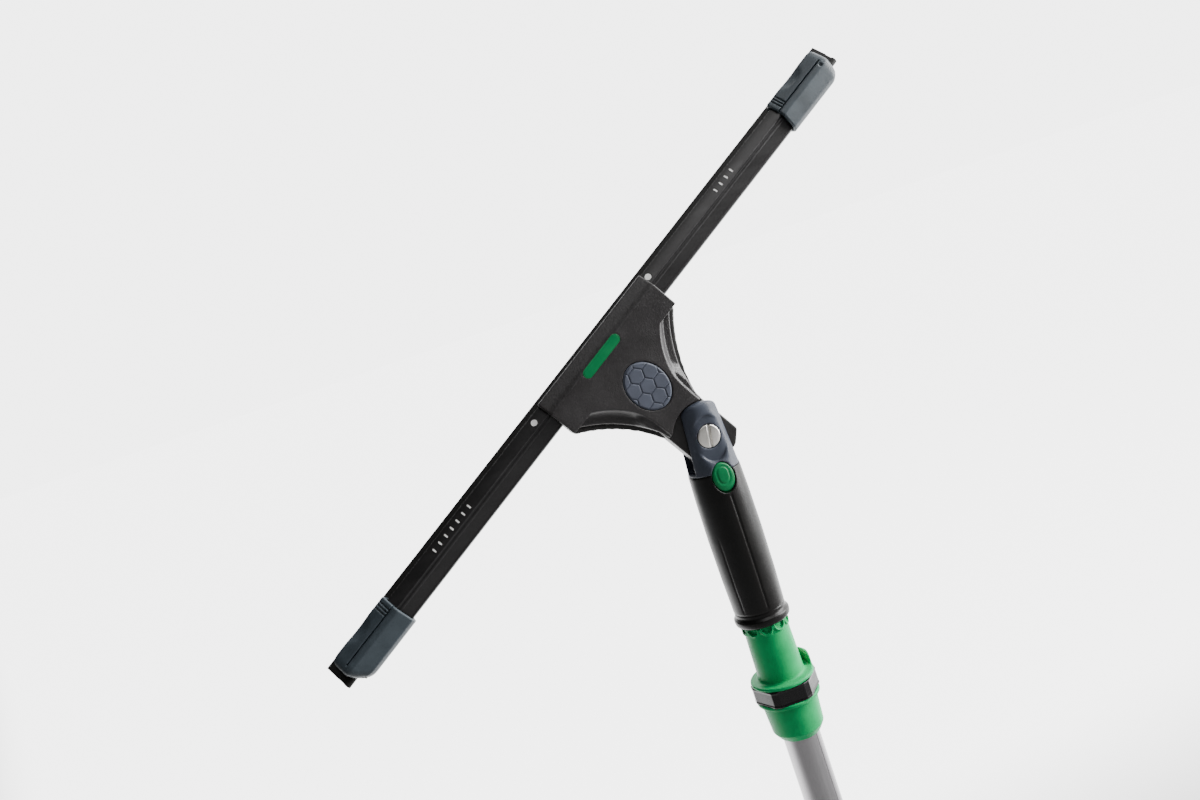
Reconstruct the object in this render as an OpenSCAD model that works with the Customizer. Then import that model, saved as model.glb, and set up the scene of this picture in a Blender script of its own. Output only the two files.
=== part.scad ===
// Window cleaning squeegee on the end of a pole: a clamped channel with a rubber
// blade, a swivel head with a sprung jaw, and a grip that pulls off a locking cone.
// Row frame: +Z up the pole, -Y the face with the button, origin at the centre of
// the pole tube's lower open end. All sizes are in millimetres.

/* [Pole] */
// Outer diameter of the aluminium pole tube
pole_d = 22.4; // [22.4:0.1:22.8]
// Wall thickness of the pole tube
pole_wall = 1.2; // [0.8:0.1:1.6]
// Length of tube that shows below the cone's cup
pole_free_len = 210; // [60:1:600]

/* [Cone] */
// Height of the cup that takes the pole
cup_h = 23.4; // [20:0.2:34]
// Cup diameter at its lower end
cup_low_d = 31; // [29:0.5:32]
// Cup diameter under the lower flange
cup_top_d = 34; // [33:0.5:36]
// Diameter of the two flanges
flange_d = 38.8; // [38:0.2:41]
// Length of bare cone between the upper flange and the grip
taper_len = 38; // [30:0.5:42]
// Number of round pockets under the grip's rim
pocket_count = 10; // [6:1:12]

/* [Grip] */
// Grip length from the seam to the rim
grip_len = 88.7; // [86:0.1:96]
// Grip diameter at its widest
grip_d = 32.8; // [32:0.2:36]
// Travel of the release button
button_travel = 3; // [1:0.5:3]

/* [Swivel] */
// Lean of the head to the left
head_lean = 32; // [0:1:45]
// Diameter of the arc that ends the fork, round the pivot
knuckle_d = 40.6; // [40:0.2:41]
// Depth of the fork from front to back
fork_depth = 27.6; // [26:0.2:30]
// Thickness of the tongue between the fork's cheeks
tongue_t = 12.4; // [10:0.2:12.6]

/* [Blade] */
// Length of the rubber blade
rubber_len = 450; // [350:50:550]
// Angle between the blade and the head
blade_tilt = 30; // [28:1:32]
// How far the rubber stands out past each clip
rubber_proud = 5.5; // [2:0.5:8]
// How far left of the middle of the head the channel is clamped
channel_offset = 3.5; // [0:0.5:20]
// Length of each end clip
clip_len = 44; // [40:1:52]

/* [Head] */
// Half the width of the head
head_half_w = 46.5; // [44:0.5:50]

/* [Hidden] */
$fn = 64;

// Heights along the pole, from the tube's lower end
cup_z = pole_free_len;
low_flange_z = cup_z + cup_h;
flange_t = 2.2;
band_h = 10;
band_z = low_flange_z + flange_t;
top_flange_z = band_z + band_h;
taper_z = top_flange_z + flange_t;
rim_z = taper_z + taper_len;
tube_top_z = rim_z - 0.8;
seam_z = rim_z + grip_len;
pivot_z = seam_z + 25.5;

// Cone: radii at its base, at the grip's rim and at its tip
cone_base_r = 14.1;
cone_rim_r = 13.2;
cone_tip_r = 8.3;
neck_z = pivot_z - 44.2;
neck_h = 2.4;
neck_r = 6.3;
tip_z = pivot_z - 38;
tip_start_z = pivot_z - 47;
cone_gap = 0.3;
rivet_z = cup_z + 10;
rivet_r = 2;

// Handle core
core_r = 13.9;
core_end_z = rim_z + 13;
body_r = 15.8;
body_top_r = 12.9;
knuckle_r = knuckle_d / 2;
half_depth = fork_depth / 2;
slot_half = 7.1;
slot_floor_z = pivot_z - 20.6;
fillet = 4;
shank_r = 4;
screw_head_r = 6.75;
screw_face_y = -12.4;
screw_seat_y = -10;
nut_seat_y = 9.1;
nut_t = 3.2;
nut_af = 13;
washer_t = 0.8;
latch_z = pivot_z - 43;
wire_r = 0.8;

// Button: a round-ended slot shape made of two circles
button_r = 6.65;
button_off = 2.1;
button_face_y = -15.1;
button_back_y = -11.2;
button_z = seam_z + 0.8;
tail_half = 3;

// Head outlines, each half an arc that sweeps in from the shoulder to the neck:
// [shoulder half width, shoulder height, arc centre x, arc centre z, arc radius, neck half width]
skirt_line = [head_half_w - 0.5, 61.5, 101.7, -11.6, 90.5, 15.2];
lip_line = [head_half_w, 66.4, 97.9, -6, 87.4, 14.8];
slope_line = [head_half_w, 68.4, 74, 12, 62, 13.4];
face_line = [head_half_w, 70, 56.9, 25.4, 45.5, 12];
neck_v = 16.6;
hub_gap = 0.7;
face_y = -10.2;
jaw_hinge_v = 52;
jaw_hinge_y = -1;
jaw_pin_r = 1.25;
tongue_half = 15.2;
pad_v = 45.8;
label_x = -3.5;
label_v = 77;
label_half = 12;
label_r = 3;
spring_v = 37;

// Channel section, along the blade (s) and towards the front (m) from the rubber's bulb
bulb_v = 74.2;
bulb_y = 0.5;
bulb_r = 2.1;
blade_reach = 14.9;
panel_m = 7.75;
panel_wall = 1.3;
crease_s = 1.4;
panel_end_s = 9.3;
back_m = -3.6;
front_s = 5;
slot_m = 1.25;
channel_half = rubber_len / 2 - rubber_proud - 4;
clip_end = rubber_len / 2 - rubber_proud;

// Points of an arc round [cx, cz] between two angles
function arc(cx, cz, r, a0, a1, n) =
    [for (i = [0:n]) [cx + r * cos(a0 + (a1 - a0) * i / n), cz + r * sin(a0 + (a1 - a0) * i / n)]];

// Right half of a head outline, from its top down to the neck
function half_outline(line, top) = let (
        a0 = 180 - asin((line[1] - line[3]) / line[4]),
        dip = sqrt(max(0, line[4] * line[4] - pow(line[2] - line[5], 2))),
        a1 = 180 - asin(min(1, dip / line[4])))
    concat([[line[0], top], [line[0], line[1]]],
        [for (p = arc(line[2], line[3], line[4], a0, a1, 14)) if (p[0] < line[0] && p[1] > neck_v) p],
        [[line[5], neck_v]]);

module outline(line, top) {
    right = half_outline(line, top);
    left = [for (i = [len(right) - 1:-1:0]) [-right[i][0], right[i][1]]];
    polygon(concat(right, left));
}

module at_pivot() {
    translate([0, 0, pivot_z]) children();
}

// Head frame: x along the channel, z away from the pivot, same y
module in_head() {
    at_pivot() rotate([0, -head_lean, 0]) children();
}

// The channel's own middle, clamped a little off the head's
module in_channel() {
    in_head() translate([-channel_offset, 0, 0]) children();
}

// Extrudes an (x, z) outline along y, from y0 to y1
module slab(y0, y1) {
    translate([0, y1, 0]) rotate([90, 0, 0]) linear_extrude(y1 - y0) children();
}

// Extrudes a (height, depth) section of the head along its width
module bar(x0, x1) {
    translate([x0, 0, 0]) mirror([1, 0, -1]) linear_extrude(x1 - x0) children();
}

// Puts the blade's own section (s, m) into the head's (height, depth) plane
module blade_section() {
    translate([bulb_v, bulb_y]) rotate([0, 0, blade_tilt]) mirror([0, 1]) children();
}

// A rod along y
module rod_y(r, y0, y1) {
    translate([0, y1, 0]) rotate([90, 0, 0]) cylinder(h = y1 - y0, r = r);
}

// A rod along x
module rod_x(r, x0, x1) {
    translate([x0, 0, 0]) rotate([0, 90, 0]) cylinder(h = x1 - x0, r = r);
}

// Coil spring along z, swept as one tube
module coil(r, wire, turns, length) {
    steps = 14;
    sides = 6;
    rings = round(turns * steps);
    points = [for (i = [0:rings]) for (k = [0:sides - 1])
        let (a = 360 * i / steps, b = 360 * k / sides, d = r + wire * cos(b))
        [d * cos(a), d * sin(a), wire + (length - 2 * wire) * i / rings + wire * sin(b)]];
    walls = [for (i = [0:rings - 1]) for (k = [0:sides - 1])
        let (n = (k + 1) % sides)
        [i * sides + k, i * sides + n, (i + 1) * sides + n, (i + 1) * sides + k]];
    caps = [[for (k = [sides - 1:-1:0]) k], [for (k = [0:sides - 1]) rings * sides + k]];
    polyhedron(points, concat([for (f = walls) [f[3], f[2], f[1], f[0]]],
        [for (f = caps) [for (j = [len(f) - 1:-1:0]) f[j]]]));
}

// ---------------------------------------------------------------- pole and cone

module pole_tube() {
    outer = pole_d / 2;
    inner = outer - pole_wall;
    color([0.78, 0.79, 0.8]) difference() {
        rotate_extrude() polygon([[inner, 0], [outer, 0], [outer, cup_z], [outer - 0.3, cup_z],
            [outer - 0.3, tube_top_z], [inner, tube_top_z]]);
        translate([0, 0, rivet_z]) rod_y(rivet_r + 0.05, 0, 20);
    }
}

module locking_cone() {
    socket_r = pole_d / 2 - 0.25;
    color([0.05, 0.62, 0.28]) difference() {
        union() {
            rotate_extrude() polygon([[socket_r, cup_z], [cup_low_d / 2 - 1.6, cup_z],
                [cup_low_d / 2, cup_z + 3], [cup_top_d / 2, low_flange_z],
                [flange_d / 2, low_flange_z], [flange_d / 2, band_z],
                [17.2, band_z], [17.2, top_flange_z], [flange_d / 2, top_flange_z],
                [flange_d / 2, taper_z], [cone_base_r, taper_z], [cone_rim_r, rim_z],
                [cone_tip_r, tip_start_z], [cone_tip_r, neck_z], [neck_r, neck_z],
                [neck_r, neck_z + neck_h], [cone_tip_r, neck_z + neck_h],
                [cone_tip_r, tip_z - 1.5], [cone_tip_r - 1.5, tip_z], [0, tip_z],
                [0, neck_z - 12], [4, neck_z - 12], [4, tube_top_z + 0.2], [socket_r, tube_top_z + 0.2]]);
            translate([0, 0, taper_z]) rotate([0, 0, 12]) rotate_extrude(angle = 34)
                translate([flange_d / 2 - 2.2, 0]) square([2.2, 8]);
        }
        for (i = [0:pocket_count - 1])
            translate([0, 0, rim_z - 3.2]) rotate([0, 0, 360 * (i + 0.5) / pocket_count])
                rod_y(3.5, -16, -12.3);
        translate([0, 0, rivet_z]) rod_y(rivet_r + 0.05, 0, 20);
    }
}

// Black clamping band, a six-sided ring with its corners cut
module cone_band() {
    flat = 19.4;
    color([0.06, 0.06, 0.06]) translate([0, 0, band_z]) difference() {
        linear_extrude(band_h) intersection() {
            circle(r = flat / cos(30), $fn = 6);
            circle(r = flat / cos(30) - 1.5, $fn = 64);
        }
        translate([0, 0, -1]) cylinder(h = band_h + 2, r = 17.25);
    }
}

module cone_rivet() {
    color([0.7, 0.7, 0.72]) translate([0, 0, rivet_z]) {
        rod_y(rivet_r, pole_d / 2 - pole_wall + 0.1, 17.2);
        rotate([-90, 0, 0]) translate([0, 0, 16.5]) rotate_extrude()
            polygon([[0, 0], [3.6, 0], [3.1, 1], [1.8, 1.6], [0, 1.8]]);
    }
}

// ---------------------------------------------------------------- handle

module button_shape(r, y0, y1) {
    for (s = [-1, 1])
        translate([0, 0, button_z + s * button_off]) rod_y(r, y0, y1);
    translate([-r, y0, button_z - button_off]) cube([2 * r, y1 - y0, 2 * button_off]);
}

// The body above the seam, slimmer towards its top
module body_cone() {
    translate([0, 0, seam_z]) cylinder(h = pivot_z - seam_z + knuckle_r, r1 = body_r, r2 = body_top_r);
}

// Round end with soft edges, turned about the pivot axis
module knuckle() {
    r = knuckle_r;
    h = half_depth;
    at_pivot() rotate([90, 0, 0]) rotate_extrude()
        polygon(concat([[0, -h]], arc(r - fillet, -h + fillet, fillet, -90, 0, 8),
            arc(r - fillet, h - fillet, fillet, 0, 90, 8), [[0, h]]));
}

module handle_core() {
    slot_top = knuckle_d;
    color([0.25, 0.29, 0.34]) difference() {
        union() {
            intersection() {
                body_cone();
                union() {
                    knuckle();
                    translate([-body_r, -half_depth, seam_z])
                        cube([2 * body_r, 2 * half_depth, pivot_z - seam_z]);
                    translate([0, 0, seam_z]) cylinder(h = 4, r = body_r);
                }
            }
            translate([0, 0, core_end_z]) cylinder(h = seam_z - core_end_z + 1, r = core_r);
        }
        translate([-25, -slot_half, slot_floor_z]) cube([50, 2 * slot_half, slot_top + 20]);
        at_pivot() rod_y(shank_r + 0.05, -20, 20);
        at_pivot() rod_y(screw_head_r + 0.3, -20, screw_seat_y);
        at_pivot() rod_y(8.6, -20, screw_face_y + 0.3);
        at_pivot() translate([0, nut_seat_y + 10, 0]) rotate([90, 0, 0])
            cylinder(h = 10, r = nut_af / sqrt(3) + 0.15, $fn = 6);
        button_shape(button_r + 0.25, -20, button_back_y + button_travel + 0.2);
        translate([-tail_half - 0.4, -20, latch_z - 3.4])
            cube([2 * tail_half + 0.8, 12, button_z - latch_z]);
        translate([-8.8, -20, latch_z - 1.2]) cube([17.6, 30.2, 2.4]);
        rotate_extrude() polygon([[0, core_end_z - 1],
            [cone_rim_r + cone_gap - (cone_rim_r - cone_tip_r) * (core_end_z - 1 - rim_z) / (tip_start_z - rim_z),
                core_end_z - 1],
            [cone_tip_r + cone_gap, tip_start_z], [cone_tip_r + cone_gap, tip_z + 1], [0, tip_z + 1]]);
    }
}

module grip_sleeve() {
    r = grip_d / 2;
    inner = core_r + 0.05;
    mouth = cone_rim_r + 0.4;
    color([0.05, 0.05, 0.055]) difference() {
        rotate_extrude() polygon([[inner, seam_z - 0.05], [body_r, seam_z - 0.05],
            [r - 0.35, seam_z - 12], [r, seam_z - 36], [r - 0.4, seam_z - 62],
            [r - 1.1, rim_z + 5], [r - 0.7, rim_z + 3.6], [r + 0.35, rim_z + 2.6],
            [r + 0.4, rim_z + 0.9], [r - 0.2, rim_z], [mouth, rim_z],
            [mouth, core_end_z - 0.1], [inner, core_end_z - 0.1]]);
        button_shape(button_r + 0.35, -22, -8);
    }
}

module release_button() {
    color([0.05, 0.6, 0.27]) {
        difference() {
            button_shape(button_r, button_face_y, button_back_y);
            button_shape(3.2, button_face_y - 1, button_face_y + 0.5);
        }
        translate([-tail_half, -13.3, latch_z - 1]) cube([2 * tail_half, 1.3, button_z - latch_z]);
        spreader_nose();
    }
}

// Nose on the button's tail that spreads the latch spring's two ends
module spreader_nose() {
    translate([0, 0, latch_z - 0.7]) linear_extrude(1.4)
        polygon([[-2.2, -12.2], [2.2, -12.2], [0.5, -10.4], [-0.5, -10.4]]);
}

module button_spring() {
    color("silver") translate([0, button_back_y + 0.02, button_z])
        rotate([-90, 0, 0]) coil(3, 0.3, 4, button_travel + 0.15);
}

// U-shaped wire that grips the cone's neck
module latch_spring() {
    leg_x = neck_r + 0.3 + wire_r;
    leg_r = wire_r - 0.03;
    bend_y = 1.5;
    nose_y = -7.5;
    tip = [2.9, -11];
    run = [leg_x - tip[0], nose_y - tip[1]];
    color("silver") translate([0, 0, latch_z]) {
        translate([0, bend_y, 0]) rotate_extrude(angle = 180) translate([leg_x, 0]) circle(r = wire_r, $fn = 24);
        for (s = [-1, 1]) {
            translate([s * leg_x, 0, 0]) rod_y(leg_r, nose_y, bend_y + 0.2);
            translate([s * leg_x, nose_y, 0]) sphere(r = wire_r, $fn = 24);
            translate([s * leg_x, nose_y, 0]) rotate([0, 0, -s * atan2(run[0], run[1])])
                rod_y(leg_r, -norm(run), 0);
        }
    }
}

module pivot_screw() {
    color([0.75, 0.75, 0.76]) at_pivot() difference() {
        union() {
            rod_y(screw_head_r, screw_face_y, screw_seat_y);
            rod_y(shank_r, screw_seat_y - 0.1, nut_seat_y + nut_t + 0.2);
        }
        rotate([0, 12, 0]) translate([-0.8, screw_face_y - 1, -10]) cube([1.6, 2.2, 20]);
    }
}

module pivot_nut() {
    color([0.6, 0.6, 0.62]) at_pivot() difference() {
        translate([0, nut_seat_y + nut_t, 0]) rotate([90, 0, 0]) cylinder(h = nut_t, r = nut_af / sqrt(3), $fn = 6);
        rod_y(shank_r + 0.05, 0, 20);
    }
}

module friction_washer(y0) {
    color([0.15, 0.15, 0.15]) at_pivot() difference() {
        rod_y(10, y0, y0 + washer_t);
        rod_y(shank_r + 0.08, y0 - 1, y0 + washer_t + 1);
    }
}

module friction_washer_front() {
    friction_washer(-slot_half + 0.02);
}

module friction_washer_back() {
    friction_washer(slot_half - washer_t - 0.02);
}

// ---------------------------------------------------------------- head

// Clears the fork's knuckle
module hub_clearance() {
    rod_y(knuckle_r + hub_gap, -30, 30);
}

module tongue() {
    foot = tongue_half / 2;
    slab(-tongue_t / 2, tongue_t / 2)
        polygon([[-tongue_half, 32], [-tongue_half, -12.6], [-foot, -17.9], [foot, -17.9],
            [tongue_half, -12.6], [tongue_half, 32]]);
}

module head_frame() {
    color([0.045, 0.045, 0.05]) in_head() difference() {
        union() {
            difference() {
                union() {
                    slab(4, 7.6) outline(skirt_line, 68);
                    slab(-2.4, 4.2) difference() {
                        outline(skirt_line, 68);
                        translate([0, 4.5]) intersection() {
                            outline([head_half_w - 3.6, 62, 101.7, -11.6, 93.2, 12], 67);
                            translate([-60, 31]) square([120, 40]);
                        }
                        translate([-60, 66]) square([120, 10]);
                    }
                    bar(-head_half_w + 1, head_half_w - 1)
                        polygon([[60, 4], [66.6, 4], [68.2, 1.4], [77.4, 6.71], [76.3, 9.4], [60, 7.6]]);
                    for (s = [-1, 1])
                        translate([s * 21 - 2, -3.4, jaw_hinge_v - 3]) cube([4, 8, 6]);
                }
                hub_clearance();
                bar(-60, 60) polygon([[10, -6], [jaw_hinge_v - 3.2, -6], [jaw_hinge_v - 3.2, -2.5], [10, -0.6]]);
            }
            tongue();
            translate([0, 0, spring_v]) rod_y(5.5, -1, 4.2);
            translate([0, 0, spring_v]) rod_y(2.8, -3, -0.9);
        }
        rod_y(shank_r + 0.06, -20, 20);
        translate([0, jaw_hinge_y, jaw_hinge_v]) rod_x(jaw_pin_r + 0.02, -25, 25);
        frame_teeth_recess();
        teeth_rivet_holes(1);
    }
}

// Strip of toothed steel let into the back jaw, behind the channel
module frame_teeth_recess() {
    bar(-40.2, 40.2) blade_section() translate([-2.2, back_m - 1.05]) square([5.4, 1.05]);
}

module frame_teeth() {
    color([0.7, 0.71, 0.73]) in_head() difference() {
        bar(-40, 40) blade_section() translate([-2, back_m - 1]) square([5, 0.8]);
        teeth_rivet_holes(1);
    }
}

// Rivets that hold the toothed strip to the back jaw
module teeth_rivet_holes(grow) {
    for (x = [-30, 0, 30])
        translate([x, bulb_y, bulb_v]) rotate([-blade_tilt, 0, 0]) translate([0, 0, 0.6])
            rod_y(1.2 + 0.03 * grow, -back_m + 0.1, 9);
}

module teeth_rivets() {
    color([0.6, 0.6, 0.62]) in_head()
        for (x = [-30, 0, 30])
            translate([x, bulb_y, bulb_v]) rotate([-blade_tilt, 0, 0]) translate([0, 0, 0.6])
                rod_y(1.2, -back_m + 0.25, 6.3);
}

module jaw_plate() {
    lip_m = panel_m + 0.3;
    color([0.045, 0.045, 0.05]) in_head() difference() {
        union() {
            slab(-5.4, -3.2) difference() {
                outline(lip_line, 66.5);
                intersection() {
                    outline([head_half_w - 2.4, 64, 97.9, -6, 90, 12.4], 80);
                    translate([-60, 24]) square([120, 60]);
                }
            }
            slab(-7.8, -5.4) difference() {
                outline(slope_line, 68.6);
                intersection() {
                    outline([head_half_w - 2.4, 66, 74, 12, 65, 10.5], 80);
                    translate([-60, 27]) square([120, 60]);
                }
            }
            slab(face_y, -7.8) outline(face_line, 70);
            bar(-head_half_w, head_half_w) polygon(concat(
                [[62, face_y], [78.6, face_y], [81.2, -8.2], [87.6, -4.4], [86.9, -1.8]],
                [[79.4, -5.95], [69.6, -3.85], [68.2, -3.6], [66.4, -3.6], [66.4, -7.8], [62, -7.8]]));
            for (s = [-1, 1])
                translate([s * 14 - 2, -9, jaw_hinge_v - 3]) cube([4, 11, 6]);
        }
        hub_clearance();
        translate([-30, -30, -30]) cube([60, 60, 30 + neck_v]);
        translate([-tongue_half - 0.7, -8.2, 0]) cube([2 * tongue_half + 1.4, 20, 33]);
        translate([0, jaw_hinge_y, jaw_hinge_v]) rod_x(jaw_pin_r + 0.06, -20, 20);
        translate([0, 0, pad_v]) pad_shape(0.15, face_y - 1, face_y + 1.2);
        translate([label_x, 0, label_v]) label_shape(0.1, face_y - 1, face_y + 0.5);
        bar(-40.2, 40.2) blade_section() translate([2.4, lip_m - 0.2]) square([5.4, 1.1]);
    }
}

// Egg-shaped thumb pad outline, built from two circles and the square between them
module pad_shape(grow, y0, y1) {
    r = 12.2 + grow;
    translate([0, 0, 3.4]) rod_y(r, y0, y1);
    translate([0, 0, -3.4]) rod_y(r, y0, y1);
    translate([-r, y0, -3.4]) cube([2 * r, y1 - y0, 6.8]);
}

module thumb_pad() {
    color([0.22, 0.26, 0.31]) in_head() translate([0, 0, pad_v]) pad_shape(0, face_y - 0.4, face_y + 1.2);
}

module label_shape(grow, y0, y1) {
    r = label_r + grow;
    for (s = [-1, 1])
        translate([s * label_half, 0, 0]) rod_y(r, y0, y1);
    translate([-label_half, y0, -r]) cube([2 * label_half, y1 - y0, 2 * r]);
}

module label_plate() {
    color([0.05, 0.62, 0.28]) in_head() translate([label_x, 0, label_v]) label_shape(0, face_y - 0.15, face_y + 0.5);
}

module jaw_pin() {
    color("silver") in_head() translate([0, jaw_hinge_y, jaw_hinge_v]) rod_x(jaw_pin_r, -23, 23);
}

module jaw_spring() {
    color("silver") in_head() translate([0, -7.75, spring_v]) rotate([-90, 0, 0]) coil(3.6, 0.45, 5, 6.7);
}

module jaw_teeth() {
    lip_m = panel_m + 0.3;
    color([0.7, 0.71, 0.73]) in_head()
        bar(-40, 40) blade_section() translate([2.6, lip_m]) square([5, 0.8]);
}

// ---------------------------------------------------------------- channel, rubber and clips

// Outline of the aluminium channel, grown outwards by g for the clips' clearance
function channel_points(g) = [
    [crease_s - 0.4 * g, panel_m + g], [panel_end_s + g, panel_m + g],
    [panel_end_s + g, panel_m - panel_wall - g], [3.4 + g, panel_m - panel_wall - g],
    [front_s + g, 3], [front_s + g, back_m - g], [-3.4 - 0.4 * g, back_m - g],
    [-6.2 - g, -1 - 0.4 * g], [-6 - g, 1.1 + 0.3 * g]];

module channel() {
    color([0.06, 0.06, 0.065]) in_channel() bar(-channel_half, channel_half) blade_section() difference() {
        polygon(channel_points(0));
        circle(r = bulb_r + 0.1);
        translate([0, -slot_m]) square([8, 2 * slot_m]);
        translate([1.2, 4.7]) circle(r = 1.5);
    }
}

module rubber_section(grow) {
    half = 1.15 + grow;
    circle(r = bulb_r + grow);
    polygon([[0, -half], [front_s + 0.3, -half], [front_s + 0.5, -1.6 - grow], [blade_reach, -1 - grow],
        [blade_reach, 1 + grow], [front_s + 0.5, 1.6 + grow], [front_s + 0.3, half], [0, half]]);
}

module rubber_blade() {
    half = rubber_len / 2;
    color([0.03, 0.03, 0.03]) in_channel() bar(-half, half) blade_section() rubber_section(0);
}

// Section of an end clip: a rounded body, a narrow slit and a latch strip beside the blade
module clip_section() {
    difference() {
        polygon([[-8.1, 0.4], [-7.6, 3], [-0.3, 9.9], [2, 10.4], [12, 9.6], [12.3, 9],
            [12.3, 1.9], [front_s + 0.3, 1.9], [front_s + 0.3, -1.9], [7, -1.9], [7, -5.6],
            [-4.4, -5.6], [-8, -2.4]]);
        polygon(channel_points(0.3));
        rubber_room();
        polygon([[3.3, 8.9], [4, 8.9], [4.3, 11.2], [3.6, 11.2]]);
    }
}

// Room for the rubber, open towards the blade's tip
module rubber_room() {
    circle(r = bulb_r + 0.3);
    translate([0, -1.9]) square([20, 3.8]);
}

module end_clip(side) {
    inner = clip_end - clip_len;
    color([0.27, 0.31, 0.35]) in_channel() mirror([side < 0 ? 1 : 0, 0, 0]) union() {
        bar(inner, clip_end - 3.6) blade_section() clip_section();
        bar(clip_end - 3.6, clip_end) blade_section() difference() {
            polygon([[-7.2, 0.8], [-6.8, 2.4], [-0.3, 8.9], [2, 9.4], [11.4, 8.8],
                [11.4, 1.9], [7, 1.9], [7, -1.9], [7, -4.8], [-4, -4.8], [-7, -2]]);
            rubber_room();
        }
    }
}

module end_clip_left() {
    end_clip(-1);
}

module end_clip_right() {
    end_clip(1);
}

pole_tube();
locking_cone();
cone_band();
cone_rivet();
handle_core();
grip_sleeve();
release_button();
button_spring();
latch_spring();
pivot_screw();
pivot_nut();
friction_washer_front();
friction_washer_back();
head_frame();
jaw_plate();
thumb_pad();
label_plate();
jaw_pin();
jaw_spring();
jaw_teeth();
frame_teeth();
teeth_rivets();
channel();
rubber_blade();
end_clip_left();
end_clip_right();
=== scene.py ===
"""Looks of the window cleaning squeegee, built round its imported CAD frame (metres, +Z up the pole).

Shapes are worked out in millimetres, as fields that are negative inside the material, and meshed here.
"""

import math

import bmesh
import bpy
import numpy as np
from mathutils import Matrix, Vector


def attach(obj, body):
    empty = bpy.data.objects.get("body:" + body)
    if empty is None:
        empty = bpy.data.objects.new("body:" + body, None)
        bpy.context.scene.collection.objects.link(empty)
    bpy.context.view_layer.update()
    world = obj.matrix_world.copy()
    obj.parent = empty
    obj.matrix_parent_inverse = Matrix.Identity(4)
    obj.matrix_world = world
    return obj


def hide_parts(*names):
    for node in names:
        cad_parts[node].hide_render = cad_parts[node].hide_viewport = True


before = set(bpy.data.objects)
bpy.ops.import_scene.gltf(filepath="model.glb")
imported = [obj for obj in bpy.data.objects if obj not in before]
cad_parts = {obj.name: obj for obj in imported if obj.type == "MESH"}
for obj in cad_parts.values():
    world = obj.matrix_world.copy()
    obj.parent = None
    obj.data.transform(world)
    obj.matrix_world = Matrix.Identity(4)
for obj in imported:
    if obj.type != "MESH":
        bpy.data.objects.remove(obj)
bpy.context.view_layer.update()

# Three frames in millimetres. The handle's has its origin at the pivot. The head's (w, y, v) leans with
# the head, w along the channel and v away from the pivot. The blade's (w, s, m) tilts in it about w, with
# its origin in the rubber's bulb, s towards the rubber's edge and m out of the channel's face.
MM = 0.001
PIVOT_Z = 0.4
HEAD_LEAN = math.radians(32)
BLADE_TILT = math.radians(30)
BULB_Y = 0.5
BULB_V = 74.2
CHANNEL_OFFSET = -3.5
AT_PIVOT = Matrix.Translation((0, 0, PIVOT_Z)) @ Matrix.Scale(MM, 4)
IN_HEAD = Matrix.Translation((0, 0, PIVOT_Z)) @ Matrix.Rotation(-HEAD_LEAN, 4, "Y") @ Matrix.Scale(MM, 4)
BLADE_AXES = Matrix(((1, 0, 0, 0), (0, math.sin(BLADE_TILT), -math.cos(BLADE_TILT), BULB_Y),
                     (0, math.cos(BLADE_TILT), math.sin(BLADE_TILT), BULB_V), (0, 0, 0, 1)))
HEAD_BLADE = IN_HEAD @ BLADE_AXES
IN_BLADE = IN_HEAD @ Matrix.Translation((CHANNEL_OFFSET, 0, 0)) @ BLADE_AXES
ALONG_Y = Matrix.Rotation(math.radians(-90), 4, "X")
ALONG_X = Matrix.Rotation(math.radians(90), 4, "Y")


# ---------------------------------------------------------------- fields

class Space:
    """A grid of points in millimetres with its three sparse coordinate arrays."""

    def __init__(self, low, high, step):
        self.step = step
        axes = [np.arange(a - 1.6 * step, b + 2.6 * step, step) for a, b in zip(low, high)]
        self.low = np.array([a[0] for a in axes])
        self.shape = tuple(len(a) for a in axes)
        self.x, self.y, self.z = np.meshgrid(*axes, indexing="ij", sparse=True)


def join(a, b, soft):
    """Union whose inner corner is blended over that width."""
    near = np.maximum(soft - np.abs(a - b), 0)
    return np.minimum(a, b) - near * near / (4 * soft)


def common(a, b, soft):
    """Common part with its edge softened."""
    return -join(-a, -b, soft)


def carve(a, b, soft):
    """First field less the second, with the rim softened."""
    return -join(-a, b, soft)


def smooth(low, high, value):
    """Rises from 0 to 1 between low and high, or falls if low is the larger."""
    t = np.clip((value - low) / (high - low), 0, 1)
    return t * t * (3 - 2 * t)


def polygon(points, x, y):
    """Signed distance to a closed outline, negative inside."""
    shape = np.broadcast(x, y).shape
    best = np.full(shape, 1e9)
    inside = np.zeros(shape, bool)
    for (ax, ay), (bx, by) in zip(points, points[1:] + points[:1]):
        ex, ey = bx - ax, by - ay
        px, py = x - ax, y - ay
        t = np.clip((px * ex + py * ey) / (ex * ex + ey * ey), 0, 1)
        best = np.minimum(best, (px - t * ex) ** 2 + (py - t * ey) ** 2)
        if ey:
            crossing = ((ay <= y) & (by > y)) | ((by <= y) & (ay > y))
            inside ^= crossing & (px < py * ex / ey)
    return np.where(inside, -1, 1) * np.sqrt(best)


def rounded(planes, radius):
    """Common part of half spaces whose edges are rounded to that radius."""
    total = 0
    for p in planes:
        total = total + np.maximum(p + radius, 0) ** 2
    flat = planes[0]
    for p in planes[1:]:
        flat = np.maximum(flat, p)
    return np.where(total > 0, np.sqrt(total) - radius, flat)


def block(x, y, z, low, high, radius):
    """A box between two corners with rounded edges."""
    return rounded([low[0] - x, x - high[0], low[1] - y, y - high[1], low[2] - z, z - high[2]], radius)


def hexagon(x, z, half):
    """A hexagon that is twice half across its flats."""
    slanted = np.maximum(np.abs(z * 0.5 + x * 0.866), np.abs(z * 0.5 - x * 0.866))
    return np.maximum(np.abs(z), slanted) - half


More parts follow.
